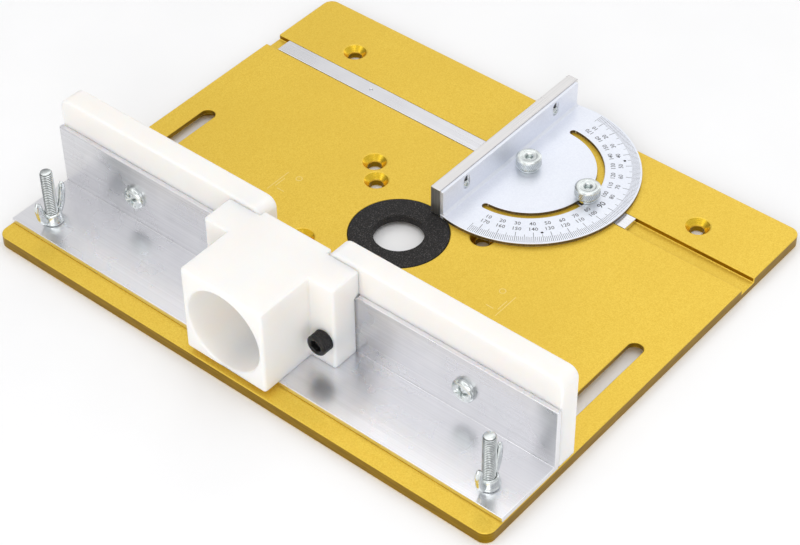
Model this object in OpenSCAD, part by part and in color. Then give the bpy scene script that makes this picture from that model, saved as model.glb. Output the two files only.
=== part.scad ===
// Bench-top router table for a trim router: an anodised plate with a flush insert ring,
// a sliding fence with a dust port, and a mitre gauge that runs in a groove.
// The origin is the middle of the plate's underside, +X runs along the fence to the right,
// +Y points from the fence towards the mitre groove, and +Z is up.

/* [Plate] */
// Length of the plate along the fence
plate_w = 280; // [270:1:300]
// Depth of the plate across the fence
plate_d = 228.6; // [224:0.2:240]
// Thickness of the plate
plate_t = 6; // [6:0.5:8]
// Radius of the plate's corners
plate_corner_r = 5; // [4:1:12]
// Distance between the corner holes along X
corner_hole_dx = 203; // [196:1:206]
// Distance between the corner holes along Y
corner_hole_dy = 176.8; // [172:0.2:180]
// Top diameter of a countersink
countersink_d = 11.9; // [10:0.1:12.5]
// Diameter of a countersunk hole's straight part
screw_hole_d = 6.4; // [5:0.1:6.6]

/* [Insert ring] */
// Outer diameter of the insert ring
ring_d = 46; // [44:0.5:46]
// Diameter of the opening for the cutter
ring_bore_d = 23.4; // [16:0.2:26]
// Thickness of the insert ring
ring_t = 4; // [3:0.5:4]

/* [Fence] */
// Distance from the middle of the plate to each clamp slot
clamp_x = 124.6; // [122:0.2:128]
// Width of a clamp slot
clamp_slot_w = 7.4; // [7.2:0.1:8]
// Place of the clamp studs along Y
clamp_y = -94; // [-95:0.5:-88]
// Diameter of the clamp studs and the fence screws
stud_d = 6; // [5.5:0.1:6]
// Height of the fence angle's upright leg
angle_h = 34; // [32:0.5:38]
// Depth of the fence angle's flat leg
angle_depth = 36.8; // [36:0.1:39]
// Thickness of the fence angle
angle_t = 2.5; // [2:0.1:3]
// Height of the fence faces
face_h = 49; // [46:0.5:54]
// Thickness of the fence faces
face_t = 11; // [10:0.5:12]
// Width of the gap between the fence faces
face_gap = 38; // [38:1:40]

/* [Dust port] */
// Inside diameter of the hose socket
hose_d = 40; // [36:0.5:40]
// Width of the hose socket
port_w = 45; // [44:0.5:46]
// Width of the port across its ears
ear_w = 72; // [71:0.5:76]

/* [Mitre gauge] */
// Place of the mitre groove along Y
groove_y = 70.7; // [70:0.1:74]
// Width of the mitre groove
groove_w = 9.4; // [9.2:0.1:10]
// Depth of the mitre groove
groove_h = 2.6; // [2.4:0.1:3]
// Place of the gauge's pivot along X
pivot_x = 19.3; // [10:0.1:30]
// Radius of the protractor
protractor_r = 52.4; // [50:0.1:55]
// Radius of the arc slot's middle
arc_r = 33.5; // [33:0.1:36]
// Width of the arc slot
arc_w = 3.6; // [3.4:0.1:5]
// Diameter of the knurled knobs
knob_d = 12.1; // [11:0.1:14]

/* [Hidden] */
$fn = 64;
eps = 1;                       // how far a cut runs past a face
fit = 0.05;                    // radial clearance round a screw or pin
slide_gap = 0.2;               // clearance under a sliding piece

plate_top = plate_t;
ledge_z = plate_t - ring_t;
ledge_d = 38;
seat_d = ring_d + 0.6;

channel_w = 13;                // recess for the clamp bolts' heads, under the plate
channel_h = 3.2;
slot_front_y = -99.5;
slot_back_y = 7;
router_holes = [[-40.3, 30.9], [-31.2, 21.3], [31.2, 21.3], [-32, -29.4], [32, -29.4]];

leg_z = plate_top + slide_gap;
leg_top = leg_z + angle_t;
face_front_y = -68;
angle_front_y = face_front_y - angle_t;
leg_front_y = face_front_y - angle_depth;
face_len = (plate_w - face_gap) / 2;
face_corner_r = 5;
face_screw_x = 93.8;
face_screw_z = plate_top + 17.7;
screw_tip_y = -60;             // how deep the fence screws go into the faces

stud_top = plate_top + 31.2;
bolt_head_d = 12;
bolt_head_h = 2.4;
bolt_neck = 6.9;
stud_hole_d = 6.6;              // the holes of the flat leg that the studs pass

port_front_y = -113.3;
ear_front_y = -84.5;
port_top = plate_top + 47.5;
throat_w = 40;
throat_gap = 0.5;
ear_clear = 0.1;                // between the ears' overhang and the angle's top edge
nose_w = face_gap - 0.6;         // the throat's nose between the fence faces
nose_back_y = face_front_y + 3;
port_axis_z = plate_top + 24.2;
socket_depth = 28;
passage_d = 30;
port_round = 1.5;
port_screw_x = 30.4;
port_screw_z = plate_top + 17.3;
cap_head_d = 10;
cap_head_h = 6;
cap_hex_af = 5;
cap_hex_h = 3;
pan_head_d = 11.4;
pan_head_h = 3;

wing_hub_h = 5.5;
wing_hub_d = 10.4;
wing_hub_top_d = 8.6;
wing_turn = 99;                // where the wing nuts' wings point
wing_t = 2.2;

bar_w = groove_w - 0.6;
bar_h = groove_h - slide_gap;
bar_z = plate_top - bar_h;
bar_left_x = -132.9;
bar_right_x = 77.1;
bar_dot_x = -76.3;
bar_dot_d = 1.6;
bar_dot_h = 1;

gauge_gap = 0.3;
sheet_t = 1.8;
sheet_z = plate_top + gauge_gap;
sheet_top = sheet_z + sheet_t;
flange_t = 1.6;
pivot_to_flange = 9.7;
flange_x = pivot_x - pivot_to_flange;   // the flange's face towards the pivot
flange_top = plate_top + 15.5;
flange_half = 51;
bend_fill = 1.2;               // the bend's inner corner
lock_x = pivot_x + arc_r;
arc_half_angle = 88;
arc_end_r = arc_w / 2 - 0.02;    // a hair under the slot's half width, so that no edges are tangent
index_hole_r = 45;
index_hole_d = 1.2;

face_bar_t = 5.6;
face_bar_x = flange_x - flange_t - slide_gap - face_bar_t;
face_bar_len = 104;
face_bar_y = groove_y + 1.3;
face_bar_h = 15.2;
bar_screw_dy = 33.6;
bar_screw_z = plate_top + 9;
bar_slot_w = 4.4;
bar_slot_neck_w = 3.2;
bar_slot_h = 7.6;
bar_slot_z = plate_top + 10.6;
bar_slot_step = 0.8;
bar_screw_head_d = 3.8;
bar_screw_d = 2.5;
bar_screw_skin = 1;            // metal left in front of the face bar's screw holes

pin_d = 3;                     // shank of the two knobs
washer_t = 1;
washer_d = 10;
washer_z = sheet_top + slide_gap;
knob_boss_h = 1;
knob_boss_d = 8;
knob_h = 4.8;
knob_hex_af = 3.2;
knob_hex_h = 3;

anodised_gold = [0.92, 0.78, 0.31];
mill_aluminium = [0.80, 0.80, 0.82];
satin_aluminium = [0.88, 0.90, 0.94];
white_plastic = [0.94, 0.93, 0.92];
black_plastic = [0.10, 0.10, 0.11];
black_steel = [0.07, 0.07, 0.07];
zinc = [0.75, 0.76, 0.74];

// A rectangle centred on the origin with round corners of radius r.
module round_rect(w, d, r) {
    square([w - 2 * r, d], center = true);
    square([w, d - 2 * r], center = true);
    for (x = [-1, 1], y = [-1, 1]) translate([x * (w / 2 - r), y * (d / 2 - r)]) circle(r);
}

// A slot of width w along Y whose round ends are centred at y0 and y1.
module y_slot(w, y0, y1) {
    translate([-w / 2, y0]) square([w, y1 - y0]);
    for (y = [y0, y1]) translate([0, y]) circle(w / 2);
}

// A cylinder along +Y from y0 to y1.
module y_rod(d, y0, y1) {
    translate([0, y0, 0]) rotate([-90, 0, 0]) cylinder(d = d, h = y1 - y0);
}

// A cylinder along +X from x0 to x1.
module x_rod(d, x0, x1) {
    translate([x0, 0, 0]) rotate([0, 90, 0]) cylinder(d = d, h = x1 - x0);
}

// A hexagonal socket of width af across flats, h deep, cut down from z = 0.
module hex_socket(af, h) {
    translate([0, 0, -h]) cylinder(d = af / cos(30), h = h + eps, $fn = 6);
}

// A countersunk screw hole through the plate, seen from above.
module countersunk_hole() {
    cone_h = (countersink_d - screw_hole_d) / 2;
    translate([0, 0, -eps]) cylinder(d = screw_hole_d, h = plate_t + 2 * eps);
    translate([0, 0, plate_top - cone_h])
        cylinder(d1 = screw_hole_d, d2 = countersink_d + 2 * eps, h = cone_h + eps);
}

// The plate: gold anodised aluminium, with every slot and hole machined into it.
module base_plate() color(anodised_gold) difference() {
    linear_extrude(plate_t) round_rect(plate_w, plate_d, plate_corner_r);
    translate([0, 0, -eps]) cylinder(d = ledge_d, h = plate_t + 2 * eps);
    translate([0, 0, ledge_z]) cylinder(d = seat_d, h = ring_t + eps);
    translate([-plate_w / 2 - eps, groove_y - groove_w / 2, plate_top - groove_h])
        cube([plate_w + 2 * eps, groove_w, groove_h + eps]);
    for (side = [-1, 1]) translate([side * clamp_x, 0, -eps]) {
        linear_extrude(plate_t + 2 * eps) y_slot(clamp_slot_w, slot_front_y, slot_back_y);
        linear_extrude(channel_h + eps) y_slot(channel_w, slot_front_y, slot_back_y);
    }
    for (x = [-1, 1], y = [-1, 1]) translate([x * corner_hole_dx / 2, y * corner_hole_dy / 2, 0])
        countersunk_hole();
    for (place = router_holes) translate([place[0], place[1], 0]) countersunk_hole();
}

// The loose ring that closes the opening down to the cutter's size.
module insert_ring() color(black_plastic) translate([0, 0, ledge_z + fit]) difference() {
    cylinder(d = ring_d, h = ring_t - fit);
    translate([0, 0, -eps]) cylinder(d = ring_bore_d, h = ring_t + 2 * eps);
}

// The fence's backbone: an aluminium angle, cut away in the middle for the dust port.
module fence_angle() color(mill_aluminium) difference() {
    union() {
        translate([-plate_w / 2, leg_front_y, leg_z]) cube([plate_w, angle_depth, angle_t]);
        translate([-plate_w / 2, angle_front_y, leg_z]) cube([plate_w, angle_t, angle_h]);
    }
    translate([-throat_w / 2 - throat_gap, angle_front_y - eps, leg_top])
        cube([throat_w + 2 * throat_gap, angle_t + 2 * eps, angle_h]);
    for (side = [-1, 1]) {
        translate([side * clamp_x, clamp_y, leg_z - eps]) cylinder(d = stud_hole_d, h = angle_t + 2 * eps);
        translate([side * face_screw_x, 0, face_screw_z])
            y_rod(stud_d + 2 * fit, angle_front_y - eps, face_front_y + eps);
        translate([side * port_screw_x, 0, port_screw_z])
            y_rod(stud_d + 2 * fit, angle_front_y - eps, face_front_y + eps);
    }
}

// One replaceable fence face, in white plastic, drawn for the right side.
module fence_face() difference() {
    translate([face_gap / 2 + face_len / 2, face_front_y + face_t, leg_z]) rotate([90, 0, 0])
        linear_extrude(face_t) {
            translate([-face_len / 2, 0]) square([face_len, face_h - face_corner_r]);
            translate([-face_len / 2 + face_corner_r, 0]) square([face_len - 2 * face_corner_r, face_h]);
            for (side = [-1, 1])
                translate([side * (face_len / 2 - face_corner_r), face_h - face_corner_r])
                    circle(face_corner_r);
        }
    translate([face_screw_x, 0, face_screw_z])
        y_rod(stud_d + 2 * fit, face_front_y - eps, screw_tip_y + fit);
    translate([port_screw_x, 0, port_screw_z])
        y_rod(stud_d + 2 * fit, face_front_y - eps, screw_tip_y + fit);
}
module left_fence_face() color(white_plastic) mirror([1, 0, 0]) fence_face();
module right_fence_face() color(white_plastic) fence_face();

// The port's outline from above: hose socket, ears and the throat between the faces.
module port_outline() {
    socket_d = ear_front_y - port_front_y;
    ear_d = angle_front_y - ear_front_y;
    translate([0, port_front_y + socket_d / 2 + port_round])
        round_rect(port_w, socket_d + 2 * port_round, port_round);
    translate([0, ear_front_y + ear_d / 2]) round_rect(ear_w, ear_d, port_round);
    translate([-throat_w / 2, ear_front_y + ear_d / 2])
        square([throat_w, face_front_y - ear_front_y - ear_d / 2]);
    translate([-nose_w / 2, face_front_y - port_round])
        square([nose_w, nose_back_y - face_front_y + port_round]);
}

// The dust port: a machined plastic block with a round socket for the hose.
module dust_port() color(white_plastic) difference() {
    overhang_z = leg_z + angle_h + ear_clear;
    union() {
        translate([0, 0, leg_top]) linear_extrude(port_top - leg_top) port_outline();
        translate([-ear_w / 2, angle_front_y - port_round, overhang_z])
            cube([ear_w, angle_t + port_round, port_top - overhang_z]);
    }
    translate([0, 0, port_axis_z]) {
        y_rod(hose_d, port_front_y - eps, port_front_y + socket_depth);
        y_rod(passage_d, port_front_y, nose_back_y + eps);
    }
    for (side = [-1, 1]) translate([side * port_screw_x, 0, port_screw_z])
        y_rod(stud_d + 2 * fit, ear_front_y - eps, angle_front_y + eps);
}

// A socket cap screw along +Y through an ear of the dust port.
module port_screw(x) color(black_steel) translate([x, 0, port_screw_z]) difference() {
    union() {
        y_rod(cap_head_d, ear_front_y - cap_head_h, ear_front_y);
        y_rod(stud_d, ear_front_y - fit, screw_tip_y);
    }
    translate([0, ear_front_y - cap_head_h, 0]) rotate([90, 0, 0]) hex_socket(cap_hex_af, cap_hex_h);
}
module left_port_screw() port_screw(-port_screw_x);
module right_port_screw() port_screw(port_screw_x);

// A cross-recessed pan head screw along +Y through the fence angle.
module face_screw(x) color(zinc) translate([x, 0, face_screw_z]) {
    y_rod(stud_d, angle_front_y - fit, screw_tip_y);
    translate([0, angle_front_y, 0]) rotate([90, 0, 0]) rotate_extrude() polygon([
        [0, 0], [pan_head_d / 2, 0], [pan_head_d / 2, pan_head_h * 0.45],
        [pan_head_d * 0.42, pan_head_h * 0.85], [pan_head_d * 0.25, pan_head_h], [0, pan_head_h]]);
}
module left_face_screw() face_screw(-face_screw_x);
module right_face_screw() face_screw(face_screw_x);

// A clamp bolt: round head in the channel, square neck in the slot, stud through the fence.
module clamp_bolt(x) color(zinc) translate([x, clamp_y, 0]) {
    head_z = channel_h - slide_gap - bolt_head_h;
    neck_z = head_z + bolt_head_h;
    translate([0, 0, head_z]) cylinder(d = bolt_head_d, h = bolt_head_h);
    translate([-bolt_neck / 2, -bolt_neck / 2, neck_z - fit]) cube([bolt_neck, bolt_neck, plate_top - neck_z]);
    translate([0, 0, neck_z]) cylinder(d = stud_d, h = stud_top - neck_z);
}
module left_clamp_bolt() clamp_bolt(-clamp_x);
module right_clamp_bolt() clamp_bolt(clamp_x);

// A wing nut on a clamp bolt: a tapered hub with two flared wings.
module wing_nut(x) color(zinc) translate([x, clamp_y, leg_top + slide_gap]) rotate([0, 0, wing_turn])
    difference() {
        union() {
            cylinder(d1 = wing_hub_d, d2 = wing_hub_top_d, h = wing_hub_h);
            for (side = [0, 180]) rotate([90, 0, side]) translate([0, 0, -wing_t / 2])
                linear_extrude(wing_t) polygon([[2, 0.6], [5, 0.6], [8.2, 3.6], [10.8, 10.6],
                    [11.3, 15.2], [9.8, 16.5], [8.2, 15.8], [6.2, 8.4], [4.6, 5], [2, 5]]);
        }
        translate([0, 0, -eps]) cylinder(d = stud_d + 2 * fit, h = wing_hub_h + 2 * eps);
    }
module left_wing_nut() wing_nut(-clamp_x);
module right_wing_nut() wing_nut(clamp_x);

// The guide bar of the mitre gauge, flush in the groove.
module miter_bar() color(mill_aluminium) difference() {
    translate([bar_left_x, groove_y - bar_w / 2, bar_z]) cube([bar_right_x - bar_left_x, bar_w, bar_h]);
    for (x = [pivot_x, lock_x]) translate([x, groove_y, bar_z - eps])
        cylinder(d = pin_d + 2 * fit, h = bar_h + 2 * eps);
    translate([bar_dot_x, groove_y, plate_top - bar_dot_h]) cylinder(d = bar_dot_d, h = bar_dot_h + eps);
}

// The arc slot, centred on the pivot.
module arc_slot() {
    difference() {
        circle(arc_r + arc_w / 2);
        circle(arc_r - arc_w / 2);
        for (side = [-1, 1]) rotate(side * arc_half_angle) translate([-protractor_r, side > 0 ? 0 : -protractor_r])
            square([2 * protractor_r, protractor_r]);
    }
    for (side = [-1, 1]) rotate(side * arc_half_angle) translate([arc_r, 0]) circle(arc_end_r);
}

// A slot through the flange: wide for the screw head, narrow for its shank.
module flange_slot(dy) {
    step_x = flange_x - bar_slot_step;
    for (cut = [[bar_slot_w, step_x, flange_x + eps], [bar_slot_neck_w, flange_x - flange_t - eps, step_x + fit]])
        translate([0, groove_y + dy, bar_slot_z]) {
            run = bar_slot_h - bar_slot_w;
            for (dz = [-run / 2, run / 2]) translate([0, 0, dz]) x_rod(cut[0], cut[1], cut[2]);
            translate([cut[1], -cut[0] / 2, -run / 2]) cube([cut[2] - cut[1], cut[0], run]);
        }
}

// The protractor: a half disc of sheet with its straight edge bent up into a flange.
module protractor() color(satin_aluminium) difference() {
    union() {
        translate([pivot_x, groove_y, sheet_z]) linear_extrude(sheet_t) difference() {
            circle(protractor_r, $fn = 180);
            translate([-protractor_r - pivot_to_flange - flange_t, -protractor_r - eps])
                square([protractor_r, 2 * (protractor_r + eps)]);
        }
        translate([flange_x - flange_t, groove_y - flange_half, sheet_z])
            cube([flange_t, 2 * flange_half, flange_top - sheet_z]);
        translate([flange_x, groove_y + flange_half, sheet_top]) rotate([90, 0, 0])
            linear_extrude(2 * flange_half)
                polygon([[-fit, -fit], [bend_fill, -fit], [-fit, bend_fill]]);
    }
    translate([pivot_x, groove_y, sheet_z - eps]) {
        cylinder(d = pin_d + 2 * fit, h = sheet_t + 2 * eps);
        linear_extrude(sheet_t + 2 * eps) arc_slot();
        for (angle = [-45, 45]) rotate(angle) translate([index_hole_r, 0, 0])
            cylinder(d = index_hole_d, h = sheet_t + 2 * eps);
    }
    for (side = [-1, 1]) flange_slot(side * bar_screw_dy);
}

// The thick face bar that the work rests against.
module miter_face_bar() color(mill_aluminium) difference() {
    translate([face_bar_x, face_bar_y - face_bar_len / 2, sheet_z])
        cube([face_bar_t, face_bar_len, face_bar_h]);
    for (side = [-1, 1]) translate([0, groove_y + side * bar_screw_dy, bar_screw_z])
        x_rod(bar_screw_d + 2 * fit, face_bar_x + bar_screw_skin, face_bar_x + face_bar_t + eps);
}

// A small screw that holds the face bar through a slot of the flange.
module face_bar_screw(dy) color(zinc) translate([0, groove_y + dy, bar_screw_z]) {
    head_x = flange_x - bar_slot_step + fit;
    x_rod(bar_screw_head_d, head_x, head_x + bar_slot_step);
    x_rod(bar_screw_d, face_bar_x + bar_screw_skin + slide_gap, head_x + fit);
}
module front_face_bar_screw() face_bar_screw(-bar_screw_dy);
module rear_face_bar_screw() face_bar_screw(bar_screw_dy);

// A knurled knob with a hexagonal socket, screwed down into the guide bar.
module knob(x) color(zinc) translate([x, groove_y, 0]) {
    boss_z = washer_z + washer_t;
    disc_z = boss_z + knob_boss_h;
    translate([0, 0, bar_z + fit]) cylinder(d = pin_d, h = boss_z - bar_z);
    translate([0, 0, boss_z]) cylinder(d = knob_boss_d, h = knob_boss_h + fit);
    translate([0, 0, disc_z]) difference() {
        cylinder(d = knob_d, h = knob_h);
        translate([0, 0, knob_h]) hex_socket(knob_hex_af, knob_hex_h);
    }
}
module pivot_knob() knob(pivot_x);
module lock_knob() knob(lock_x);

// The washer under a knob.
module knob_washer(x) color(zinc) translate([x, groove_y, washer_z]) difference() {
    cylinder(d = washer_d, h = washer_t);
    translate([0, 0, -eps]) cylinder(d = pin_d + 2 * fit, h = washer_t + 2 * eps);
}
module pivot_washer() knob_washer(pivot_x);
module lock_washer() knob_washer(lock_x);

base_plate();
insert_ring();
fence_angle();
left_fence_face();
right_fence_face();
dust_port();
left_port_screw();
right_port_screw();
left_face_screw();
right_face_screw();
left_clamp_bolt();
right_clamp_bolt();
left_wing_nut();
right_wing_nut();
miter_bar();
protractor();
miter_face_bar();
front_face_bar_screw();
rear_face_bar_screw();
pivot_knob();
pivot_washer();
lock_knob();
lock_washer();
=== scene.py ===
# A bench-top router table: the plate, the fence and the mitre gauge, in the order they are put together.
# All sizes are in millimetres and turned into metres where a mesh is made.
import math

import bmesh
import bpy
import numpy as np
from mathutils import Matrix, Vector


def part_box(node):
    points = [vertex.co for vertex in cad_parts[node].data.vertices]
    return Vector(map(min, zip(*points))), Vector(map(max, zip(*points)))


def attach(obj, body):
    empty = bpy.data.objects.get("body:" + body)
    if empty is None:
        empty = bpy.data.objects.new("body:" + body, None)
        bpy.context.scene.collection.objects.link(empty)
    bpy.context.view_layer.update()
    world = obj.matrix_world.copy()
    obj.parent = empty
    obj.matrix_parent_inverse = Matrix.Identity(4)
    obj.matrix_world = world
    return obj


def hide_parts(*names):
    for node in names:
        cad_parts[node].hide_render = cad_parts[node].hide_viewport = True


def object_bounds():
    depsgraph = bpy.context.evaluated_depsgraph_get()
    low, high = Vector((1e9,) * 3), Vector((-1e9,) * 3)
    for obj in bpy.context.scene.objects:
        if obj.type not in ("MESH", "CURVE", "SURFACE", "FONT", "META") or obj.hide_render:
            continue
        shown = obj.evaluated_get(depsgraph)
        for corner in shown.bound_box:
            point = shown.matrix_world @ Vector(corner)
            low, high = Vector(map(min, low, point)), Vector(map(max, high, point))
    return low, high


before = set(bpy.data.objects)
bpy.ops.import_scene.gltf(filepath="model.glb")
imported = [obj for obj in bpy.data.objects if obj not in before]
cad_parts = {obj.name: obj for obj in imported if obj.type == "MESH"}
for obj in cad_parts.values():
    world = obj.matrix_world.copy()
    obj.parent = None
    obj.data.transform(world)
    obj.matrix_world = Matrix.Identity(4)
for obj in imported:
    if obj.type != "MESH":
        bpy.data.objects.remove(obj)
cad_low, cad_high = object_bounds()
mm = 0.001

# ---------------------------------------------------------------- camera, floor and light
# The camera looks down over the dust port. The floor is a plain pale sweep, and the studio
# is a soft white dome, brightest overhead and darker to the left and right, with two soft boxes.
look_azimuth = math.radians(40.24)
look_down = math.radians(43.3)
look_roll = math.radians(-0.77)
camera_data = bpy.data.cameras.new("camera")
camera_data.sensor_width = 36
camera_data.lens = 98.55
camera_data.clip_end = 20
camera = bpy.data.objects.new("camera", camera_data)
camera.matrix_world = (
    Matrix.Translation(Vector((470.7, -555.7, 667.7)) * mm)
    @ Matrix.Rotation(look_azimuth, 4, "Z")
    @ Matrix.Rotation(math.pi / 2 - look_down, 4, "X")
    @ Matrix.Rotation(look_roll, 4, "Z")
)
bpy.context.scene.collection.objects.link(camera)
bpy.context.scene.camera = camera
bpy.context.scene.view_settings.view_transform = "Standard"


def new_finish(name, sockets):
    """A material whose shader has these fixed values on its own sockets."""
    material = bpy.data.materials.new(name)
    material.use_nodes = True
    shader = material.node_tree.nodes["Principled BSDF"]
    for socket, value in sockets.items():
        shader.inputs[socket].default_value = value
    return material


def cloud(material, cells_per_mm, stretch=(1, 1, 1), detail=3):
    """A noise in object coordinates, from 0 to 1 round 0.5, with its cells stretched along an axis."""
    nodes, links = material.node_tree.nodes, material.node_tree.links
    place = nodes.new("ShaderNodeTexCoord")
    mapping = nodes.new("ShaderNodeMapping")
    mapping.inputs["Scale"].default_value = [1 / part for part in stretch]
    noise = nodes.new("ShaderNodeTexNoise")
    noise.inputs["Scale"].default_value = cells_per_mm / mm
    noise.inputs["Detail"].default_value = detail
    links.new(place.outputs["Object"], mapping.inputs["Vector"])
    links.new(mapping.outputs["Vector"], noise.inputs["Vector"])
    return noise.outputs["Fac"]


def spread(material, source, low, high, start=0.3, end=0.7):
    """Stretches a pattern's values from start..end to low..high."""
    node = material.node_tree.nodes.new("ShaderNodeMapRange")
    node.inputs["From Min"].default_value = start
    node.inputs["From Max"].default_value = end
    node.inputs["To Min"].default_value = low
    node.inputs["To Max"].default_value = high
    material.node_tree.links.new(source, node.inputs["Value"])
    return node.outputs["Result"]


def blend_colours(material, share, first, second):
    """Mixes two colours, or a colour and another mix, by a share from 0 to 1."""
    node = material.node_tree.nodes.new("ShaderNodeMix")
    node.data_type = "RGBA"
    links = material.node_tree.links
    links.new(share, node.inputs["Factor"])
    for socket, colour in ((node.inputs[6], first), (node.inputs[7], second)):
        if isinstance(colour, bpy.types.NodeSocket):
            links.new(colour, socket)
        else:
            socket.default_value = (*colour, 1)
    return node.outputs[2]


def relief(material, source, depth_mm):
    """Adds a pattern to the surface as a bump of that depth, on top of any bump already there."""
    nodes, links = material.node_tree.nodes, material.node_tree.links
    normal = nodes["Principled BSDF"].inputs["Normal"]
    bump = nodes.new("ShaderNodeBump")
    bump.inputs["Distance"].default_value = depth_mm * mm
    links.new(source, bump.inputs["Height"])
    if normal.links:
        links.new(normal.links[0].from_socket, bump.inputs["Normal"])
    links.new(bump.outputs["Normal"], normal)


def wire(material, source, socket):
    """Feeds a pattern into one of the shader's sockets."""
    shader = material.node_tree.nodes["Principled BSDF"]
    material.node_tree.links.new(source, shader.inputs[socket])


def mesh_object(name, points, faces):
    """A mesh of points in millimetres; its faces are turned to point outwards."""
    mesh = bpy.data.meshes.new(name)
    mesh.from_pydata((np.asarray(points) * mm).tolist(), [], [list(face) for face in faces])
    shell = bmesh.new()
    shell.from_mesh(mesh)
    bmesh.ops.recalc_face_normals(shell, faces=shell.faces)
    shell.to_mesh(mesh)
    shell.free()
    piece = bpy.data.objects.new(name, mesh)
    bpy.context.scene.collection.objects.link(piece)
    return piece


floor_half = 3000
floor_z = cad_low.z / mm - 0.3
floor = mesh_object(
    "floor",
    [(-floor_half, -floor_half, floor_z), (floor_half, -floor_half, floor_z),
     (floor_half, floor_half, floor_z), (-floor_half, floor_half, floor_z)],
    [(0, 1, 2, 3)],
)
pale_floor = new_finish("pale_floor", {"Roughness": 0.9, "Specular IOR Level": 0.1})
wire(pale_floor, blend_colours(pale_floor, spread(pale_floor, cloud(pale_floor, 0.02), 0, 1),
                               (0.96, 0.96, 0.96), (0.98, 0.98, 0.98)), "Base Color")
floor.data.materials.append(pale_floor)

world = bpy.data.worlds.new("studio")
world.use_nodes = True
bpy.context.scene.world = world
world_nodes, world_links = world.node_tree.nodes, world.node_tree.links
direction = world_nodes.new("ShaderNodeTexCoord")
slope = world_nodes.new("ShaderNodeVectorMath")
slope.operation = "DOT_PRODUCT"
slope.inputs[1].default_value = (1.1, -0.1, 0.7)
half_way = world_nodes.new("ShaderNodeMapRange")
half_way.inputs["From Min"].default_value = -1
half_way.inputs["From Max"].default_value = 1
ramp = world_nodes.new("ShaderNodeValToRGB")
ramp.color_ramp.elements[0].position = 0.1
ramp.color_ramp.elements[0].color = (0.22, 0.22, 0.23, 1)
ramp.color_ramp.elements[1].position = 0.95
ramp.color_ramp.elements[1].color = (0.5, 0.5, 0.51, 1)
for place, grey in ((0.36, 0.44), (0.44, 0.70), (0.52, 1.05), (0.60, 1.05), (0.70, 0.70)):
    step = ramp.color_ramp.elements.new(place)
    step.color = (grey, grey, grey, 1)
world_links.new(direction.outputs["Generated"], slope.inputs[0])
world_links.new(slope.outputs["Value"], half_way.inputs["Value"])
world_links.new(half_way.outputs["Result"], ramp.inputs["Fac"])
world_links.new(ramp.outputs["Color"], world_nodes["Background"].inputs["Color"])
world_nodes["Background"].inputs["Strength"].default_value = 1.35

soft_boxes = [  # name, place, width, height, power
    ("top_box", (300, -100, 1500), 1100, 1100, 4),
    ("front_box", (700, -1100, 600), 900, 600, 3.5),
]
for name, place, width, height, power in soft_boxes:
    light = bpy.data.lights.new(name, "AREA")
    light.shape = "RECTANGLE"
    light.size = width * mm
    light.size_y = height * mm
    light.energy = power
    lamp = bpy.data.objects.new(name, light)
    lamp.location = Vector(place) * mm
    lamp.rotation_euler = (-lamp.location).to_track_quat("-Z", "Y").to_euler()
    bpy.context.scene.collection.objects.link(lamp)

# ---------------------------------------------------------------- base plate
# One 6 mm aluminium plate, bead-blasted and gold anodised. Its slots, groove and countersinks
# are milled, and all its edges are broken with a small chamfer.


def broken_edges(node, name, edge_mm, steps=2):
    """A copy of a CAD node whose doubles are merged and flat faces joined, its edges rounded off."""
    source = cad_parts[node].data
    mesh = bpy.data.meshes.new(name)
    mesh.from_pydata(
        [vertex.co for vertex in source.vertices], [], [list(face.vertices) for face in source.polygons]
    )
    solid = bmesh.new()
    solid.from_mesh(mesh)
    bmesh.ops.remove_doubles(solid, verts=solid.verts, dist=0.002 * mm)
    bmesh.ops.dissolve_limit(solid, angle_limit=math.radians(0.3), verts=solid.verts, edges=solid.edges)
    for face in solid.faces:
        face.smooth = True
    solid.to_mesh(mesh)
    solid.free()
    mesh.set_sharp_from_angle(angle=math.radians(35))
    piece = bpy.data.objects.new(name, mesh)
    bpy.context.scene.collection.objects.link(piece)
    bevel = piece.modifiers.new("edges", "BEVEL")
    bevel.width = edge_mm * mm
    bevel.segments = steps
    bevel.limit_method = "ANGLE"
    bevel.angle_limit = math.radians(35)
    bevel.use_clamp_overlap = False
    bevel.loop_slide = False
    bevel.face_strength_mode = "FSTR_ALL"
    flat_faces = piece.modifiers.new("flat_faces", "WEIGHTED_NORMAL")
    flat_faces.keep_sharp = True
    flat_faces.use_face_influence = True
    return piece


def fit(piece, finish, body, slot, *nodes):
    """Gives a piece its finish and its body, and lets it stand for its CAD nodes. The slot is not used."""
    piece.data.materials.append(finish)
    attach(piece, body)
    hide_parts(*nodes)


gold = new_finish("gold_anodised", {"Metallic": 0.55, "Roughness": 0.42})
gold_grain = cloud(gold, 1.9, detail=2)
gold_dye = blend_colours(gold, spread(gold, gold_grain, 0, 1), (0.79, 0.515, 0.046), (0.93, 0.67, 0.095))
gold_cast = blend_colours(gold, spread(gold, cloud(gold, 0.02), 0, 0.35), gold_dye, (0.77, 0.515, 0.055))
wire(gold, gold_cast, "Base Color")
wire(gold, spread(gold, cloud(gold, 0.9), 0.36, 0.5), "Roughness")
relief(gold, gold_grain, 0.06)

# Painted shade: the plate's sides get a far darker gold than its top. It stands in for the darker
# reflection of the floor beneath them, though a milled edge is also a little duller in its own right.
gold_side_painted_shade = new_finish("gold_milled_edge_painted_shade", {"Metallic": 1.0, "Roughness": 0.38})
mill_steps = cloud(gold_side_painted_shade, 1.2, (14, 14, 1))
wire(gold_side_painted_shade, blend_colours(gold_side_painted_shade, spread(gold_side_painted_shade, mill_steps, 0, 1),
                              (0.23, 0.13, 0.004), (0.37, 0.22, 0.010)), "Base Color")
relief(gold_side_painted_shade, mill_steps, 0.02)

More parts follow.
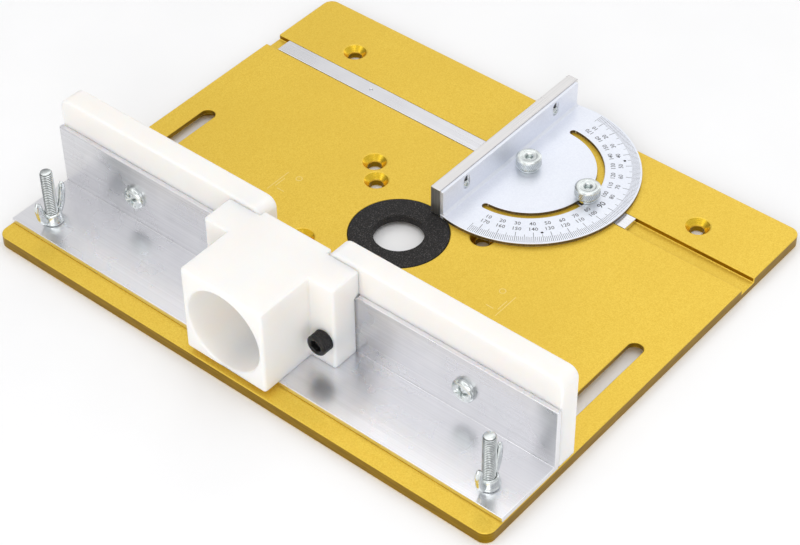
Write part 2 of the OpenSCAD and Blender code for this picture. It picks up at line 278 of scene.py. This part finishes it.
plate = broken_edges("base_plate", "machined_plate", 0.35)
fit(plate, gold, "plate", "anodised_gold", "base_plate")
plate.data.materials.append(gold_side_painted_shade)
gold_cone = new_finish("gold_countersink", {"Metallic": 1.0, "Roughness": 0.25})
cutter_rings = cloud(gold_cone, 0.9, (1, 1, 0.3))
wire(gold_cone, blend_colours(gold_cone, spread(gold_cone, cutter_rings, 0, 1),
                              (0.80, 0.50, 0.025), (0.95, 0.66, 0.06)), "Base Color")
relief(gold_cone, cutter_rings, 0.02)
plate.data.materials.append(gold_cone)
# Steep faces, which are the plate's sides, take the painted-shade dark gold. The countersink cones take the
# polished gold.
for face in plate.data.polygons:
    level = abs(face.normal.z)
    face.material_index = 1 if level < 0.4 else 2 if level < 0.9 else 0
plate.modifiers["edges"].material = 0

# Two locating marks are scribed beside the fence: a bracket and a small ring each.
plate_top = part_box("base_plate")[1].z / mm
mark_t = 0.012
mark_line = 0.35
mark_bars = [  # x0, x1, y0, y1 on the right side
    (66.1, 66.1 + mark_line, -14.8, 0),
    (64.6, 64.6 + mark_line, -10.9, -4.3),
    (59.0, 63.0, -11.8, -11.8 + mark_line),
]
mark_ring = (59.4, -0.5, 1.25)


def bars(rows):
    """Flat boxes with rows of x0, x1, y0, y1, z0, z1: eight corners and six faces each."""
    rows = np.asarray(rows, float)
    corner = np.array([(x, y, z) for z in (0, 1) for y in (0, 1) for x in (0, 1)])
    points = np.stack([rows[:, axis * 2, None] * (1 - corner[:, axis]) + rows[:, axis * 2 + 1, None]
                       * corner[:, axis] for axis in range(3)], -1)
    sides = np.array([(0, 2, 3, 1), (4, 5, 7, 6), (0, 1, 5, 4), (2, 6, 7, 3), (0, 4, 6, 2), (1, 3, 7, 5)])
    faces = sides[None] + 8 * np.arange(len(rows))[:, None, None]
    return points.reshape(-1, 3), faces.reshape(-1, 4)


def closed_ring(section, columns):
    """A closed outline of (radius, z) rows carried round the Z axis."""
    section = np.asarray(section, float)
    angle = np.linspace(0, 2 * math.pi, columns, endpoint=False)
    points = np.stack([section[:, 0, None] * np.cos(angle), section[:, 0, None] * np.sin(angle),
                       section[:, 1, None] * np.ones(columns)], -1)
    row = np.arange(len(section))[:, None] * columns
    column = np.arange(columns)[None]
    beside = (column + 1) % columns
    above = (row + columns) % (len(section) * columns)
    faces = np.stack([row + column, row + beside, above + beside, above + column], -1)
    return points.reshape(-1, 3), faces.reshape(-1, 4)


def joined(parts):
    """Puts several (points, faces) pairs into one."""
    start = 0
    points = []
    faces = []
    for part_points, part_faces in parts:
        points.append(part_points)
        faces += [[int(corner) + start for corner in face] for face in part_faces]
        start += len(part_points)
    return np.concatenate(points), faces


mark_parts = []
for side in (-1, 1):
    strips = [(min(side * x0, side * x1), max(side * x0, side * x1), y0, y1,
               plate_top - mark_t, plate_top + mark_t) for x0, x1, y0, y1 in mark_bars]
    mark_parts.append(bars(strips))
    ring_x, ring_y, ring_r = mark_ring
    rim_r = ring_r + mark_line
    rim = [(ring_r, -mark_t), (rim_r, -mark_t), (rim_r, mark_t), (ring_r, mark_t)]
    rim_points, rim_faces = closed_ring(rim, 32)
    mark_parts.append((rim_points + (side * ring_x, ring_y, plate_top), rim_faces))
marks = mesh_object("scribed_marks", *joined(mark_parts))
scribed = new_finish("scribed_gold", {"Metallic": 0.6, "Roughness": 0.6})
wire(scribed, blend_colours(scribed, spread(scribed, cloud(scribed, 1.5), 0, 1),
                            (0.90, 0.68, 0.20), (0.96, 0.79, 0.36)), "Base Color")
relief(scribed, cloud(scribed, 3), 0.01)
marks.data.materials.append(scribed)
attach(marks, "plate")

# ---------------------------------------------------------------- insert ring
# A moulded black plastic ring that drops into a seat in the plate, flush with its top. Its
# face is spark-eroded and its opening has a small lead-in chamfer.


def softened(profile, radius, steps=4):
    """Rounds the inner corners of an open line of points: each corner becomes a parabola that
    starts and ends one radius away, or at two fifths of a shorter side."""
    line = np.asarray(profile, float)
    corner = line[1:-1]
    reach = []
    for side in (line[:-2] - corner, line[2:] - corner):
        length = np.linalg.norm(side[:, :2], axis=1, keepdims=True)
        reach.append(side * np.minimum(radius / np.maximum(length, 1e-9), 0.4))
    t = np.linspace(0, 1, steps + 1)[None, :, None]
    curve = corner[:, None] + reach[0][:, None] * (1 - t) ** 2 + reach[1][:, None] * t ** 2
    return np.concatenate([line[:1], curve.reshape(-1, line.shape[1]), line[-1:]])


def smooth_piece(name, points, faces, sharp=40):
    """A mesh whose faces are shaded smooth, with edges over a given angle left sharp."""
    piece = mesh_object(name, points, faces)
    piece.data.shade_smooth()
    piece.data.set_sharp_from_angle(angle=math.radians(sharp))
    return piece


ring_low, ring_high = (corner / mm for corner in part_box("insert_ring"))
ring_r = ring_high.x
bore_r = 11.7
lead_in = 0.5
ring_section = softened([
    (bore_r + 3, ring_low.z), (ring_r, ring_low.z), (ring_r, ring_high.z), (bore_r + lead_in, ring_high.z),
    (bore_r, ring_high.z - lead_in), (bore_r, ring_low.z), (bore_r + 3, ring_low.z)], 0.25)[:-1]
ring = smooth_piece("moulded_insert_ring", *closed_ring(ring_section, 160))
moulded_black = new_finish("moulded_black", {"Roughness": 0.68, "Specular IOR Level": 0.32})
speck = cloud(moulded_black, 2.4, detail=2)
wire(moulded_black, blend_colours(moulded_black, spread(moulded_black, speck, 0, 1, 0.55, 0.8),
                                  (0.013, 0.012, 0.012), (0.16, 0.15, 0.145)), "Base Color")
relief(moulded_black, cloud(moulded_black, 1.8, detail=3), 0.12)
fit(ring, moulded_black, "plate", "black_plastic", "insert_ring")

# ---------------------------------------------------------------- fence angle
# An extruded aluminium angle, left as it came from the mill: faint lines along its length,
# cloudy handling marks, and painted shade on the outside of its web, a darker grey that stands in for the
# darker reflection there. It is sawn to length and cut out for the port.


def mill_finish(name, stretch, light, dark):
    """Bright extruded aluminium, whose fine lines follow the axis that stretch makes long."""
    metal = new_finish(name, {"Metallic": 1.0})
    lines = cloud(metal, 1.6, stretch, detail=4)
    smudge = cloud(metal, 0.06, detail=2)
    clean = blend_colours(metal, spread(metal, lines, 0, 1), dark, light)
    wire(metal, blend_colours(metal, spread(metal, smudge, 0, 0.35, 0.45, 0.8), clean,
                              (0.93, 0.93, 0.94)), "Base Color")
    wire(metal, spread(metal, smudge, 0.24, 0.33), "Roughness")
    relief(metal, lines, 0.0015)
    return metal


mill_along_x = mill_finish("mill_aluminium_along_x", (200, 1, 1), (0.86, 0.86, 0.89), (0.78, 0.78, 0.81))
angle = broken_edges("fence_angle", "extruded_fence_angle", 0.3)
fit(angle, mill_along_x, "fence", "mill_aluminium", "fence_angle")
leg_top = 12 * mm
# Painted shade: the outside face of the web gets a darker grey than the rest of the angle, standing in for
# the darker reflection it shows.
web_painted_shade_finish = mill_finish("mill_aluminium_web_painted_darker", (200, 1, 1), (0.74, 0.74, 0.76), (0.64, 0.64, 0.66))
angle.data.materials.append(web_painted_shade_finish)
# The web's outer face, facing -Y above the leg, takes the painted-shade grey.
for wall in angle.data.polygons:
    if wall.normal.y < -0.9 and wall.center.z > leg_top:
        wall.material_index = 1

# ---------------------------------------------------------------- fence faces and dust port
# Two boards and a block sawn and milled from white polyethylene. The plastic is milky, lets
# light in at its soft edges, and keeps faint tool lines.


def milky_plastic(name, stretch):
    """White polyethylene: light enters it a few millimetres, and tool lines run one way."""
    plastic = new_finish(name, {
        "Roughness": 0.42, "Subsurface Weight": 0.9, "Subsurface Scale": 0.006,
        "Subsurface Radius": (1.0, 0.85, 0.7), "Specular IOR Level": 0.4, "IOR": 1.5})
    lines = cloud(plastic, 0.8, stretch, detail=3)
    body = cloud(plastic, 0.03)
    wire(plastic, blend_colours(plastic, spread(plastic, body, 0, 1), (0.92, 0.885, 0.85),
                                (0.94, 0.91, 0.88)), "Base Color")
    wire(plastic, spread(plastic, lines, 0.38, 0.5), "Roughness")
    relief(plastic, lines, 0.015)
    return plastic


board_plastic = milky_plastic("milky_board", (40, 1, 1))
for side in ("left", "right"):
    board = broken_edges(f"{side}_fence_face", f"{side}_fence_board", 1.0, 4)
    fit(board, board_plastic, "fence", "white_plastic", f"{side}_fence_face")
port_plastic = milky_plastic("milky_block", (1, 1, 12))
port = broken_edges("dust_port", "milled_dust_port", 0.9, 4)
fit(port, port_plastic, "fence", "white_plastic", "dust_port")

# ---------------------------------------------------------------- port screws
# Two M6 socket cap screws, black oxide: a knurled head with a hexagonal socket, and a rolled
# thread on the shank.


def turned(rows, columns, sides=6, pitch=1.0, teeth=0):
    """A closed surface round the Z axis, from rows of (z, radius, flat share, thread depth, knurl depth).
    The radius of a row is that of a circle, or of a polygon with that many sides where the flat share
    is 1, less a V thread that climbs one pitch a turn, less a knurl of crossed V grooves."""
    rows = np.asarray(rows, float)
    z, radius, flat, thread, knurl = (column[:, None] for column in rows.T)
    angle = np.linspace(0, 2 * math.pi, columns, endpoint=False)[None]
    half = math.pi / sides
    polygon = 1 / np.cos((angle + half) % (2 * half) - half)
    r = radius * (1 - flat + flat * polygon)
    climb = (z / pitch - angle / (2 * math.pi)) % 1
    r = r - thread * np.abs(2 * climb - 1)
    skew = 0.55 * z
    grooves = [np.abs(2 * ((teeth * (angle / (2 * math.pi)) + way * skew) % 1) - 1) for way in (-1, 1)]
    cut = np.maximum(grooves[0], grooves[1])
    hollow = np.where(knurl > 0, cut, 0) + np.where(thread > 0, np.abs(2 * climb - 1), 0)
    r = r - knurl * cut
    ring_points = np.stack([r * np.cos(angle), r * np.sin(angle), z * np.ones_like(angle)], -1)
    count = len(rows)
    ends = np.array([(0, 0, z[0, 0]), (0, 0, z[-1, 0])])
    points = np.concatenate([ring_points.reshape(-1, 3), ends])
    row = np.arange(count - 1)[:, None] * columns
    column = np.arange(columns)[None]
    beside = (column + 1) % columns
    quads = np.stack([row + column, row + beside, row + columns + beside, row + columns + column], -1)
    last = (count - 1) * columns
    fans = [np.stack([beside[0], column[0], np.full(columns, count * columns)], -1),
            np.stack([last + column[0], last + beside[0], np.full(columns, count * columns + 1)], -1)]
    return points, quads.reshape(-1, 4).tolist() + fans[0].tolist() + fans[1].tolist(), hollow


def fine_rows(rows, step):
    """Rows close enough together to carry a thread or a knurl, between the given ones."""
    rows = np.asarray(rows, float)
    z = np.linspace(rows[0, 0], rows[-1, 0], int(abs(rows[-1, 0] - rows[0, 0]) / step) + 2)
    order = np.argsort(rows[:, 0])
    return np.stack([np.interp(z, rows[order, 0], rows[order, column]) if column else z
                     for column in range(rows.shape[1])], -1)


def placed(points, turn, place):
    """Turns points by a 3 x 3 matrix and moves them to their place."""
    return points @ np.asarray(turn).T + np.asarray(place)


def groove_dirt(piece, hollow):
    """Keeps how deep each point lies in a groove on the piece, for its finish to paint shade there."""
    depth = np.append(hollow.ravel(), (0, 0))
    attribute = piece.data.attributes.new("groove", "FLOAT", "POINT")
    attribute.data.foreach_set("value", depth.astype(np.float32))


def darker_in_grooves(material, colour, deep):
    """Paints shade into grooves: blends a colour towards a darker one by the piece's groove attribute."""
    groove = material.node_tree.nodes.new("ShaderNodeAttribute")
    groove.attribute_name = "groove"
    share = spread(material, groove.outputs["Fac"], 0, 1, 0.3, 0.85)
    return blend_colours(material, share, colour, deep)


facing_front = np.asarray(Matrix.Rotation(math.pi / 2, 3, "X"))   # local +Z becomes -Y
facing_right = np.asarray(Matrix.Rotation(math.pi / 2, 3, "Y"))   # local +Z becomes +X

black_oxide = new_finish("black_oxide", {"Metallic": 0.5, "Specular IOR Level": 0.5})
oxide_bloom = cloud(black_oxide, 0.6, detail=4)
wire(black_oxide, blend_colours(black_oxide, spread(black_oxide, oxide_bloom, 0, 1),
                                (0.008, 0.008, 0.009), (0.028, 0.027, 0.027)), "Base Color")
wire(black_oxide, spread(black_oxide, oxide_bloom, 0.3, 0.46), "Roughness")
relief(black_oxide, cloud(black_oxide, 2.5), 0.01)

thread_depth = 0.6
for side in ("left", "right"):
    node = f"{side}_port_screw"
    low, high = (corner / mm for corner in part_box(node))
    head_r = (high.x - low.x) / 2
    head_h = 6
    tip = low.y + head_h - high.y
    shank_r = 3
    socket_r = 2.5
    shank = fine_rows([(tip + 0.9, shank_r, 0, thread_depth, 0), (-5, shank_r, 0, thread_depth, 0),
                       (-4.4, shank_r, 0, 0, 0)], 0.1)
    head = fine_rows([(0.6, head_r, 0, 0, 0), (1.0, head_r, 0, 0, 0.28), (head_h - 1.5, head_r, 0, 0, 0.28),
                      (head_h - 1.1, head_r, 0, 0, 0)], 0.12)
    crown = softened([(head_h - 1.1, head_r, 0, 0, 0), (head_h - 0.5, head_r - 0.15, 0, 0, 0),
                      (head_h, head_r - 0.9, 0, 0, 0), (head_h, socket_r + 0.55, 0.2, 0, 0),
                      (head_h - 0.45, socket_r, 1, 0, 0), (head_h - 3, socket_r, 1, 0, 0),
                      (head_h - 4, 0.2, 0, 0, 0)], 0.3)
    rows = np.concatenate([[(tip, shank_r - 0.8, 0, 0, 0)], shank, [(0, shank_r, 0, 0, 0),
                           (0, head_r - 0.3, 0, 0, 0), (0.3, head_r, 0, 0, 0)], head, crown])
    points, faces, hollow = turned(rows, 176, teeth=40)
    screw = smooth_piece(f"{side}_cap_screw",
                         placed(points, facing_front, ((low.x + high.x) / 2, low.y + head_h,
                                                       (low.z + high.z) / 2)), faces)
    groove_dirt(screw, hollow)
    fit(screw, black_oxide, "fence", "black_steel", node)

# ---------------------------------------------------------------- face screws
# Two M6 pan head screws, bright zinc plated, through the angle into the boards. The head is
# cold formed, with a cross recess and four small ticks between its arms.

zinc = new_finish("bright_zinc", {"Metallic": 1.0})
zinc_bloom = cloud(zinc, 0.35, detail=4)
zinc_colour = blend_colours(zinc, spread(zinc, zinc_bloom, 0, 1), (0.62, 0.655, 0.655), (0.80, 0.84, 0.83))
# Painted shade: the zinc is blended to near black in the thread, knurl and recess grooves, where shade
# falls.
wire(zinc, darker_in_grooves(zinc, zinc_colour, (0.045, 0.045, 0.047)), "Base Color")
wire(zinc, spread(zinc, zinc_bloom, 0.14, 0.3), "Roughness")
relief(zinc, cloud(zinc, 1.2), 0.008)


def cross_recess(x, y, reach, width, depth):
    """How deep a cross recess is at x, y: two crossed slots that get shallower towards their ends and
    have sloping walls, and two thin shallow ones turned half way between."""
    def slot(along, across, half_length, half_width):
        wall = np.clip((half_width - np.abs(across)) / 0.25, 0, 1)
        end = np.clip((half_length - np.abs(along)) / (half_length * 0.75), 0, 1)
        return wall * end
    diagonal = math.sqrt(0.5)
    u, v = (x + y) * diagonal, (x - y) * diagonal
    arms = np.maximum(slot(x, y, reach, width / 2), slot(y, x, reach, width / 2))
    ticks = np.maximum(slot(u, v, reach * 0.85, width / 5), slot(v, u, reach * 0.85, width / 5))
    return depth * np.maximum(arms, 0.3 * ticks)


recess_reach = 4.0
recess_width = 1.5
recess_depth = 1.7
for side, recess_turn in (("left", 0.5), ("right", 0.3)):
    node = f"{side}_face_screw"
    low, high = (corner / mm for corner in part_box(node))
    head_r = (high.x - low.x) / 2
    head_h = 3
    tip = low.y + head_h - high.y
    shank = fine_rows([(tip + 0.9, 3, 0, thread_depth, 0), (-0.8, 3, 0, thread_depth, 0),
                       (-0.3, 3, 0, 0, 0)], 0.1)
    edge = softened([(0, 3, 0, 0, 0), (0, head_r - 0.1, 0, 0, 0), (0.15, head_r, 0, 0, 0),
                     (1.5, head_r, 0, 0, 0), (2.5, head_r - 0.75, 0, 0, 0),
                     (2.75, head_r - 1.6, 0, 0, 0)], 0.35)
    crown_r = head_r - 1.65
    dome_r = np.linspace(crown_r, 0.08, 44)
    dome = np.stack([2.76 + 0.24 * (1 - (dome_r / crown_r) ** 2), dome_r,
                     0 * dome_r, 0 * dome_r, 0 * dome_r], -1)
    rows = np.concatenate([[(tip, 2.2, 0, 0, 0)], shank, edge, dome])
    points, faces, hollow = turned(rows, 160)
    on_top = points[:, 2] > 2.755
    recess = cross_recess(points[:, 0], points[:, 1], recess_reach, recess_width, recess_depth)
    sunk = np.where(on_top, recess, 0)
    points[:, 2] -= sunk
    # The cross recess also gets painted shade, by its depth.
    hollow += sunk[:-2].reshape(hollow.shape) / (2 * recess_depth)
    spin = np.asarray(Matrix.Rotation(recess_turn, 3, "Z"))
    screw = smooth_piece(f"{side}_pan_screw",
                         placed(points, facing_front @ spin, ((low.x + high.x) / 2, low.y + head_h,
                                                              (low.z + high.z) / 2)), faces)
    groove_dirt(screw, hollow)
    fit(screw, zinc, "fence", "zinc", node)

# ---------------------------------------------------------------- clamp bolts
# M6 carriage bolts, bright zinc plated: a round head in the plate's underside channel, a
# square neck that the slot keeps from turning, and a rolled thread up to a chamfered tip.

for side in ("left", "right"):
    node = f"{side}_clamp_bolt"
    low, high = (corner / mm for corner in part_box(node))
    middle = (low + high) / 2
    head_r = (high.x - low.x) / 2
    neck_half = 3.45
    neck_z = low.z + 2.4
    neck_top = plate_top
    lower = softened([(low.z, 0.5, 0, 0, 0), (low.z, head_r - 1.2, 0, 0, 0), (low.z + 1.0, head_r, 0, 0, 0),
                      (neck_z, head_r, 0, 0, 0), (neck_z, neck_half + 0.3, 1, 0, 0),
                      (neck_z + 0.2, neck_half, 1, 0, 0), (neck_top - 0.6, neck_half, 1, 0, 0),
                      (neck_top, 3.0, 0.2, 0, 0)], 0.2)
    shaft = fine_rows([(neck_top + 0.2, 3.0, 0, thread_depth, 0), (high.z - 0.7, 3.0, 0, thread_depth, 0),
                       (high.z - 0.1, 2.55, 0, 0.12, 0)], 0.083)
    crown = [(high.z, 2.3, 0, 0, 0), (high.z, 0.4, 0, 0, 0)]
    points, faces, hollow = turned(np.concatenate([lower, shaft, crown]), 56, sides=4)
    bolt = smooth_piece(f"{side}_carriage_bolt",
                        placed(points, np.eye(3), (middle.x, middle.y, 0)), faces, 60)
    groove_dirt(bolt, hollow)
    fit(bolt, zinc, "fence", "zinc", node)

# ---------------------------------------------------------------- wing nuts
# Cast zinc wing nuts: a flared hub with a threaded hole and two wings that lean outwards,
# thick at the root and rounded at the tip.


def squared(wave):
    """A sine wave with flatter tops, which makes an oval a little squarer."""
    return np.sign(wave) * np.abs(wave) ** 0.75


def wing(spine, width, thickness, around=20):
    """A rounded bar whose middle line is the spine in the X-Z plane: at each spine point an oval lies
    across the line, width wide in the plane and thickness thick, and it closes in a round end."""
    spine = np.asarray(spine, float)
    t = np.linspace(0, 1, 30)
    knots = np.linspace(0, 1, len(spine))
    line = np.stack([np.interp(t, knots, spine[:, axis]) for axis in range(2)], -1)
    for _ in range(6):
        line[1:-1] = (line[:-2] + 2 * line[1:-1] + line[2:]) / 4
    along = np.gradient(line, axis=0)
    along /= np.linalg.norm(along, axis=1, keepdims=True)
    across = np.stack([along[:, 1], -along[:, 0]], -1)
    round_end = np.sqrt(np.clip(1 - np.clip((t - 0.8) / 0.2, 0, 1) ** 2, 0, 1))
    wide = np.interp(t, knots, width) * round_end / 2
    thick = np.interp(t, knots, thickness) * np.maximum(round_end, 0.5) / 2
    turn = np.linspace(0, 2 * math.pi, around, endpoint=False)
    in_plane = line[:, None] + across[:, None] * (wide[:, None] * squared(np.cos(turn)))[..., None]
    y = thick[:, None] * squared(np.sin(turn))[None]
    points = np.stack([in_plane[..., 0], y, in_plane[..., 1]], -1).reshape(-1, 3)
    row = np.arange(len(t) - 1)[:, None] * around
    column = np.arange(around)[None]
    beside = (column + 1) % around
    quads = np.stack([row + column, row + beside, row + around + beside, row + around + column], -1)
    last = (len(t) - 1) * around
    root = list(range(around))
    end = list(range(last + around - 1, last - 1, -1))
    return points, quads.reshape(-1, 4).tolist() + [root, end]


wing_angle = math.radians(99)
for side in ("left", "right"):
    node = f"{side}_wing_nut"
    low, high = (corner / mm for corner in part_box(node))
    middle = (low + high) / 2
    hub = closed_ring(softened([
        (3.1, 0), (5.0, 0), (5.15, 0.9), (4.75, 1.6), (4.3, 4.9), (3.6, 5.45), (3.35, 5.45), (3.05, 5.1),
        (3.05, 0.3), (3.1, 0)], 0.4)[:-1], 72)
    blade_points, blade_faces = wing(
        [(3.6, 2.6), (5.6, 3.6), (7.2, 6.4), (8.1, 10.6), (8.9, 16.2)],
        [4.4, 4.6, 4.4, 4.2, 4.2], [3.2, 2.8, 2.6, 2.6, 2.6])
    blades = [(placed(blade_points, Matrix.Rotation(turn, 3, "Z"), (0, 0, 0)), blade_faces)
              for turn in (0, math.pi)]
    points, faces = joined([hub] + blades)
    spin = Matrix.Rotation(wing_angle, 3, "Z")
    nut = smooth_piece(f"{side}_cast_wing_nut",
                       placed(points, spin, (middle.x, middle.y, low.z)), faces, 50)
    fit(nut, zinc, f"{side}_nut", "zinc", node)

# ---------------------------------------------------------------- mitre bar
# A flat aluminium bar, drawn to size, that slides in the plate's groove. Two screws from the
# gauge go into it, and a small dot is punched in its free end.

bar = broken_edges("miter_bar", "drawn_miter_bar", 0.25)
fit(bar, mill_along_x, "gauge_bar", "mill_aluminium", "miter_bar")

# ---------------------------------------------------------------- protractor
# A half disc of satin silver aluminium sheet whose straight edge is bent up. The scale is
# printed in dark grey: a tick for each degree and two rows of numbers, ten degrees apart.

satin = new_finish("satin_silver", {"Metallic": 0.6})
satin_grain = cloud(satin, 1.3, detail=3)
wire(satin, blend_colours(satin, spread(satin, satin_grain, 0, 1),
                          (0.83, 0.86, 0.94), (0.89, 0.92, 0.99)), "Base Color")
wire(satin, spread(satin, cloud(satin, 0.08), 0.34, 0.46), "Roughness")
relief(satin, satin_grain, 0.01)
sheet = broken_edges("protractor", "bent_protractor", 0.2, 3)
fit(sheet, satin, "gauge_head", "satin_aluminium", "protractor")
# Painted shade: the sheet's cut edges, its rim and the walls of its slot, are coloured near black, standing
# in for the shadow in the gap under the sheet. The shear lines on them are texture.
sheet_edge_painted_shade = new_finish("punched_edge_painted_shade", {"Metallic": 1.0, "Roughness": 0.5})
shear_lines = cloud(sheet_edge_painted_shade, 2, (1, 1, 8))
wire(sheet_edge_painted_shade, blend_colours(sheet_edge_painted_shade, spread(sheet_edge_painted_shade, shear_lines, 0, 1),
                             (0.10, 0.085, 0.07), (0.26, 0.22, 0.18)), "Base Color")
relief(sheet_edge_painted_shade, shear_lines, 0.02)
sheet.data.materials.append(sheet_edge_painted_shade)
sheet_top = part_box("pivot_washer")[0].z
bend_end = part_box("protractor")[0].x + 3 * mm
# The vertical cut faces in the flat part of the sheet take the painted-shade edge colour.
for face in sheet.data.polygons:
    in_the_flat = face.center.z < sheet_top and face.center.x > bend_end
    if in_the_flat and abs(face.normal.z) < 0.5:
        face.material_index = 1
sheet.modifiers["edges"].material = 0

knob_low, knob_high = (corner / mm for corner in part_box("pivot_knob"))
pivot_x, pivot_y = (knob_low.x + knob_high.x) / 2, (knob_low.y + knob_high.y) / 2
washer_gap = 0.2
scale_z = sheet_top / mm - washer_gap
ink_t = 0.01
tick_outer = 51.6
degrees = np.arange(5, 176)
tick_inner = np.where(degrees % 10 == 0, 45.0, np.where(degrees % 5 == 0, 46.4, 47.8))
tick_w = np.where(degrees % 10 == 0, 0.24, 0.19)
tick_points, tick_faces = bars(np.stack([tick_inner, 0 * degrees + tick_outer, -tick_w / 2, tick_w / 2,
                                         0 * degrees - ink_t, 0 * degrees + ink_t], -1))
tick_angle = np.repeat(np.radians(degrees - 90), 8)
tick_points = np.stack([tick_points[:, 0] * np.cos(tick_angle) - tick_points[:, 1] * np.sin(tick_angle),
                        tick_points[:, 0] * np.sin(tick_angle) + tick_points[:, 1] * np.cos(tick_angle),
                        tick_points[:, 2]], -1)


def number(text, size, radius, angle_deg, offset=0.0):
    """A printed number as a thin solid, its middle at a radius and angle, with its top to the pivot."""
    letters = bpy.data.curves.new("number", "FONT")
    letters.body = text
    letters.size = size
    letters.extrude = ink_t
    letters.offset = offset
    letters.resolution_u = 2
    letters.align_x = "CENTER"
    letters.align_y = "CENTER"
    holder = bpy.data.objects.new("number", letters)
    bpy.context.scene.collection.objects.link(holder)
    flat = bpy.data.meshes.new_from_object(holder.evaluated_get(bpy.context.evaluated_depsgraph_get()))
    bpy.data.objects.remove(holder)
    points = np.array([vertex.co for vertex in flat.vertices])
    faces = [list(face.vertices) for face in flat.polygons]
    bpy.data.meshes.remove(flat)
    angle = math.radians(angle_deg)
    turn = Matrix.Rotation(angle + math.pi / 2, 3, "Z")
    return placed(points, turn, (radius * math.cos(angle), radius * math.sin(angle), 0)), faces


scale_parts = [(tick_points, tick_faces)]
for degree in range(10, 180, 10):
    place_angle = degree - 90
    if degree == 90:
        scale_parts.append(number("90", 4.2, 41.6, place_angle, 0.05))
        continue
    scale_parts.append(number(str(degree), 3.0, 39.2, place_angle, 0.03))
    scale_parts.append(number(str(180 - degree), 3.0, 42.8, place_angle, 0.03))
points, faces = joined(scale_parts)
scale = mesh_object("printed_scale", points + (pivot_x, pivot_y, scale_z), faces)
ink = new_finish("grey_ink", {"Roughness": 0.55})
wire(ink, blend_colours(ink, spread(ink, cloud(ink, 2.5), 0, 1),
                        (0.05, 0.05, 0.055), (0.13, 0.13, 0.14)), "Base Color")
relief(ink, cloud(ink, 3), 0.004)
scale.data.materials.append(ink)
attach(scale, "gauge_head")

# ---------------------------------------------------------------- face bar and its screws
# A thick flat bar, sawn from extruded stock, that the work rests against. Two small screws
# hold it through slots in the protractor's bent edge.

mill_along_y = mill_finish("mill_aluminium_along_y", (1, 200, 1), (0.84, 0.82, 0.81), (0.74, 0.73, 0.73))
face_bar = broken_edges("miter_face_bar", "sawn_face_bar", 0.3)
fit(face_bar, mill_along_y, "gauge_face", "mill_aluminium", "miter_face_bar")
sawn_end = new_finish("sawn_aluminium", {"Metallic": 0.95, "Roughness": 0.45})
saw_lines = cloud(sawn_end, 1.5, (1, 1, 30))
wire(sawn_end, blend_colours(sawn_end, spread(sawn_end, saw_lines, 0, 1), (0.24, 0.24, 0.235),
                             (0.38, 0.38, 0.37)), "Base Color")
relief(sawn_end, saw_lines, 0.02)
face_bar.data.materials.append(sawn_end)
for face in face_bar.data.polygons:
    if abs(face.normal.y) > 0.9:
        face.material_index = 1
face_bar.modifiers["edges"].material = 0
for end in ("front", "rear"):
    node = f"{end}_face_bar_screw"
    low, high = (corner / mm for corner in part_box(node))
    head_r = (high.z - low.z) / 2
    head_h = 0.8
    tip = low.x - (high.x - head_h)
    rows = softened([(tip, 0.8, 0, 0, 0), (tip + 0.4, 1.25, 0, 0, 0), (0, 1.25, 0, 0, 0),
                     (0, head_r, 0, 0, 0), (0.45, head_r, 0, 0, 0), (head_h, head_r - 0.5, 0, 0, 0),
                     (head_h, 1.0, 0.3, 0, 0), (head_h - 0.12, 0.8, 1, 0, 0), (0.1, 0.8, 1, 0, 0),
                     (0, 0.1, 0, 0, 0)], 0.15, 3)
    points, faces, _ = turned(rows, 48)
    screw = smooth_piece(f"{end}_bar_screw", placed(points, facing_right, (
        high.x - head_h, (low.y + high.y) / 2, (low.z + high.z) / 2)), faces)
    fit(screw, zinc, "gauge_face", "zinc", node)

# ---------------------------------------------------------------- knobs and washers
# Two turned thumb screws, zinc plated, that pin the protractor to the bar: a knurled disc
# with a rounded rim and a small hexagonal socket, on a boss and a plain washer.

# How strongly the knurl grooves get painted shade.
knurl_shade_share = 0.6
for name in ("pivot", "lock"):
    node = f"{name}_knob"
    low, high = (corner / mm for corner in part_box(node))
    middle = (low + high) / 2
    disc_r = (high.x - low.x) / 2
    top = high.z
    disc_z = top - 4.8
    socket_r = 1.6
    lower = softened([(low.z, 1.1, 0, 0, 0), (low.z + 0.4, 1.5, 0, 0, 0), (disc_z - 1, 1.5, 0, 0, 0),
                      (disc_z - 1, 4.0, 0, 0, 0), (disc_z, 4.0, 0, 0, 0), (disc_z, disc_r - 0.6, 0, 0, 0),
                      (disc_z + 0.5, disc_r, 0, 0, 0)], 0.15, 3)
    band = fine_rows([(disc_z + 0.55, disc_r, 0, 0, 0.0), (disc_z + 0.8, disc_r, 0, 0, 0.16),
                      (top - 1.2, disc_r, 0, 0, 0.16), (top - 0.95, disc_r, 0, 0, 0.0)], 0.1)
    crown = softened([(top - 0.9, disc_r, 0, 0, 0), (top - 0.6, disc_r - 0.05, 0, 0, 0),
                      (top, disc_r - 0.8, 0, 0, 0), (top, 3.9, 0, 0, 0), (top - 0.15, 3.6, 0, 0, 0),
                      (top - 0.15, socket_r + 0.6, 0.2, 0, 0), (top - 0.6, socket_r, 1, 0, 0),
                      (top - 3, socket_r, 1, 0, 0), (top - 3.6, 0.2, 0, 0, 0)], 0.25)
    points, faces, hollow = turned(np.concatenate([lower, band, crown]), 192, teeth=44)
    knob = smooth_piece(f"{name}_thumb_screw", placed(points, np.eye(3), (middle.x, middle.y, 0)), faces)
    groove_dirt(knob, hollow * knurl_shade_share)
    fit(knob, zinc, name, "zinc", node)

    low, high = (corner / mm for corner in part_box(f"{name}_washer"))
    outer = (high.x - low.x) / 2
    points, faces = closed_ring(softened([
        (3.2, low.z), (outer, low.z), (outer, high.z), (1.56, high.z), (1.56, low.z), (3.2, low.z)],
        0.15)[:-1], 64)
    washer = smooth_piece(f"{name}_plain_washer", placed(points, np.eye(3), (middle.x, middle.y, 0)), faces)
    fit(washer, zinc, name, "zinc", f"{name}_washer")
